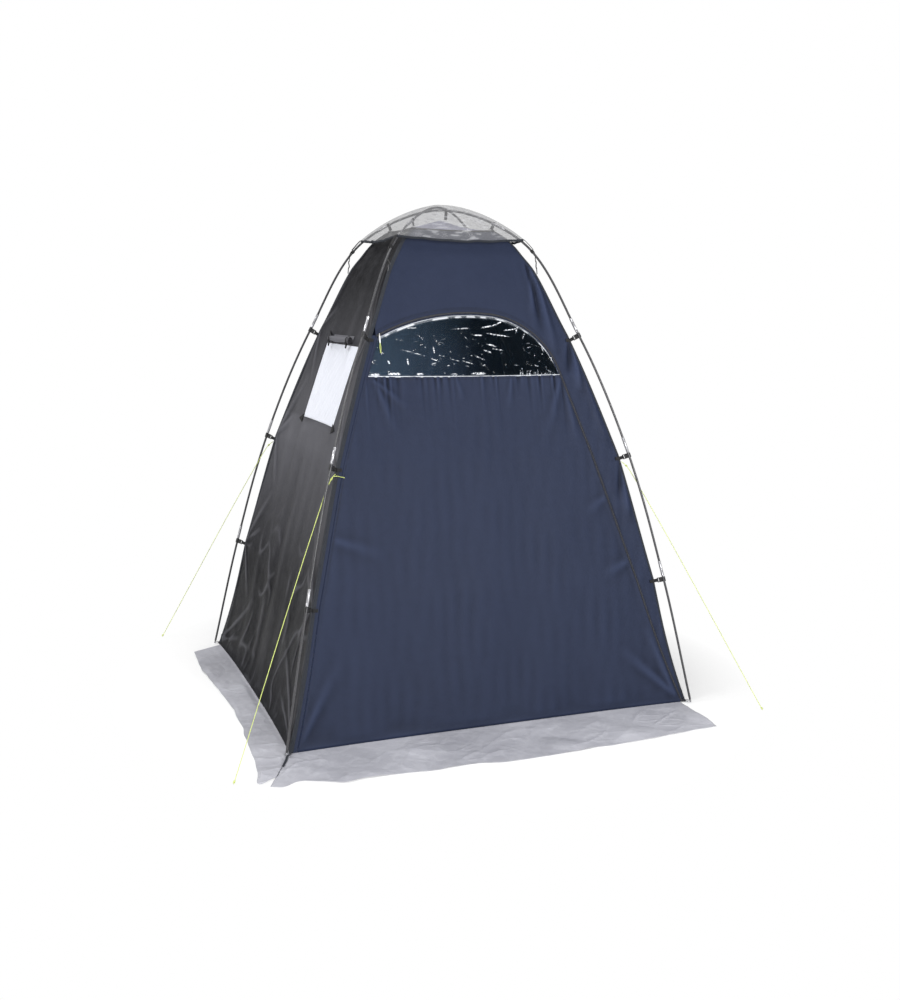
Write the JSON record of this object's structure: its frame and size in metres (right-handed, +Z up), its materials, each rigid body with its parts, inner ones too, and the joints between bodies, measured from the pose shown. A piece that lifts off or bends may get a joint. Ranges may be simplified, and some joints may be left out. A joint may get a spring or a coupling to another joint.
{
  "type": "cabin tent",
  "caption": "Tall floorless cabin tent on two crossing sectioned poles, with a zipped door, film windows, a clear rain cap, ground flaps and guy lines.",
  "frame": {"origin": "centre of the base box on the ground, under the crossing of the poles", "axes": "+Z up, the door wall faces -Y, the window wall faces -X; Y runs along the flaps' longest reach"},
  "size_m": [2.2036, 2.11, 2.0671],
  "materials": {
    "pole": "satin black rod with pale ferrules",
    "hook": "moulded, satin",
    "pin": "plated wire",
    "grey_cloth": "coated cloth with a soft sheen",
    "navy_cloth": "coated cloth, matt",
    "window_film": "clear crinkled film",
    "zip_tape": "woven tape with a coil",
    "net": "fine mesh",
    "cap_film": "milky film with a dark bound hem",
    "flap_film": "pale sheeting",
    "elastic": "thin elastic with an S hook",
    "guy_line": "bright braided cord",
    "slider": "moulded",
    "puller_cord": "bright cord with a white end"
  },
  "bodies": {
    "tent": {"pole_a_section_1": "pole", "pole_a_section_2": "pole", "pole_a_section_3": "pole", "pole_a_section_4": "pole", "pole_a_section_5": "pole", "pole_a_section_6": "pole", "pole_a_section_7": "pole", "pole_a_section_8": "pole", "pole_a_section_9": "pole", "pole_b_section_1": "pole", "pole_b_section_2": "pole", "pole_b_section_3": "pole", "pole_b_section_4": "pole", "pole_b_section_5": "pole", "pole_b_section_6": "pole", "pole_b_section_7": "pole", "pole_b_section_8": "pole", "pole_b_section_9": "pole", "foot_pin_front_left": "pin", "foot_pin_front_right": "pin", "foot_pin_back_left": "pin", "foot_pin_back_right": "pin", "left_wall": "grey_cloth", "right_wall": "grey_cloth", "side_window": "window_film", "front_wall": "navy_cloth", "back_wall": "navy_cloth", "roof_net": "net", "rain_cap": "cap_film", "cap_tie_front_left": "elastic", "cap_tie_front_right": "elastic", "cap_tie_back_left": "elastic", "cap_tie_back_right": "elastic", "guy_line_front_left": "guy_line", "guy_line_front_right": "guy_line", "guy_line_back_left": "guy_line", "guy_line_back_right": "guy_line", "left_flap": "flap_film", "right_flap": "flap_film", "back_flap": "flap_film"},
    "door": {"door_panel": "navy_cloth", "door_window": "window_film", "door_zip": "zip_tape", "front_flap": "flap_film"},
    "slider": {"zip_slider": "slider"},
    "puller": {"zip_puller": "puller_cord"},
    "rolled_cover": {"window_cover": "grey_cloth"},
    "hook_front_left_1": {"pole_hook_front_left_1": "hook"},
    "hook_front_left_2": {"pole_hook_front_left_2": "hook"},
    "hook_front_left_3": {"pole_hook_front_left_3": "hook"},
    "hook_front_right_1": {"pole_hook_front_right_1": "hook"},
    "hook_front_right_2": {"pole_hook_front_right_2": "hook"},
    "hook_front_right_3": {"pole_hook_front_right_3": "hook"},
    "hook_back_left_1": {"pole_hook_back_left_1": "hook"},
    "hook_back_left_2": {"pole_hook_back_left_2": "hook"},
    "hook_back_left_3": {"pole_hook_back_left_3": "hook"},
    "hook_back_right_1": {"pole_hook_back_right_1": "hook"},
    "hook_back_right_2": {"pole_hook_back_right_2": "hook"},
    "hook_back_right_3": {"pole_hook_back_right_3": "hook"}
  },
  "joints": [
    {"name": "door_swing", "type": "hinge", "parent": "tent", "child": "door", "pos_m": [-0.88878, -0.76851, 0.003], "axis": [-0.254, -0.2196, -0.9419], "range_deg": [0, 45]},
    {"name": "slider_run", "type": "hinge", "parent": "door", "child": "slider", "pos_m": [-0.00013, -0.67089, 0.84393], "axis": [-0.0039, 0.9151, -0.4031], "range_deg": [0, 34]},
    {"name": "puller_swing", "type": "hinge", "parent": "slider", "child": "puller", "pos_m": [-0.39447, -0.38162, 1.53155], "axis": [-0.9988, -0.0453, 0.0162], "range_deg": [0, 120]},
    {"name": "cover_lift", "type": "hinge", "parent": "tent", "child": "rolled_cover", "pos_m": [-0.42984, 0.2123, 1.515], "axis": [0, 1, 0], "range_deg": [0, 35]},
    {"name": "hook_front_left_1_turn", "type": "hinge", "parent": "tent", "child": "hook_front_left_1", "pos_m": [-0.74899, -0.64764, 0.51741], "axis": [-0.2123, -0.1836, -0.9598], "range_deg": [0, 110]},
    {"name": "hook_front_left_2_turn", "type": "hinge", "parent": "tent", "child": "hook_front_left_2", "pos_m": [-0.62319, -0.53886, 1.03016], "axis": [-0.2772, -0.2397, -0.9304], "range_deg": [0, 110]},
    {"name": "hook_front_left_3_turn", "type": "hinge", "parent": "tent", "child": "hook_front_left_3", "pos_m": [-0.45095, -0.38993, 1.51691], "axis": [-0.3749, -0.3242, -0.8685], "range_deg": [0, 110]},
    {"name": "hook_front_right_1_turn", "type": "hinge", "parent": "tent", "child": "hook_front_right_1", "pos_m": [0.74899, -0.64764, 0.51741], "axis": [-0.2123, 0.1836, 0.9598], "range_deg": [0, 110]},
    {"name": "hook_front_right_2_turn", "type": "hinge", "parent": "tent", "child": "hook_front_right_2", "pos_m": [0.62319, -0.53886, 1.03016], "axis": [-0.2772, 0.2397, 0.9304], "range_deg": [0, 110]},
    {"name": "hook_front_right_3_turn", "type": "hinge", "parent": "tent", "child": "hook_front_right_3", "pos_m": [0.45095, -0.38993, 1.51691], "axis": [-0.3749, 0.3242, 0.8685], "range_deg": [0, 110]},
    {"name": "hook_back_left_1_turn", "type": "hinge", "parent": "tent", "child": "hook_back_left_1", "pos_m": [-0.74899, 0.64764, 0.51741], "axis": [0.2123, -0.1836, 0.9598], "range_deg": [0, 110]},
    {"name": "hook_back_left_2_turn", "type": "hinge", "parent": "tent", "child": "hook_back_left_2", "pos_m": [-0.62319, 0.53886, 1.03016], "axis": [0.2772, -0.2397, 0.9304], "range_deg": [0, 110]},
    {"name": "hook_back_left_3_turn", "type": "hinge", "parent": "tent", "child": "hook_back_left_3", "pos_m": [-0.45095, 0.38993, 1.51691], "axis": [0.3749, -0.3242, 0.8685], "range_deg": [0, 110]},
    {"name": "hook_back_right_1_turn", "type": "hinge", "parent": "tent", "child": "hook_back_right_1", "pos_m": [0.74899, 0.64764, 0.51741], "axis": [0.2123, 0.1836, -0.9598], "range_deg": [0, 110]},
    {"name": "hook_back_right_2_turn", "type": "hinge", "parent": "tent", "child": "hook_back_right_2", "pos_m": [0.62319, 0.53886, 1.03016], "axis": [0.2772, 0.2397, -0.9304], "range_deg": [0, 110]},
    {"name": "hook_back_right_3_turn", "type": "hinge", "parent": "tent", "child": "hook_back_right_3", "pos_m": [0.45095, 0.38993, 1.51691], "axis": [0.3749, 0.3242, -0.8685], "range_deg": [0, 110]}
  ]
}
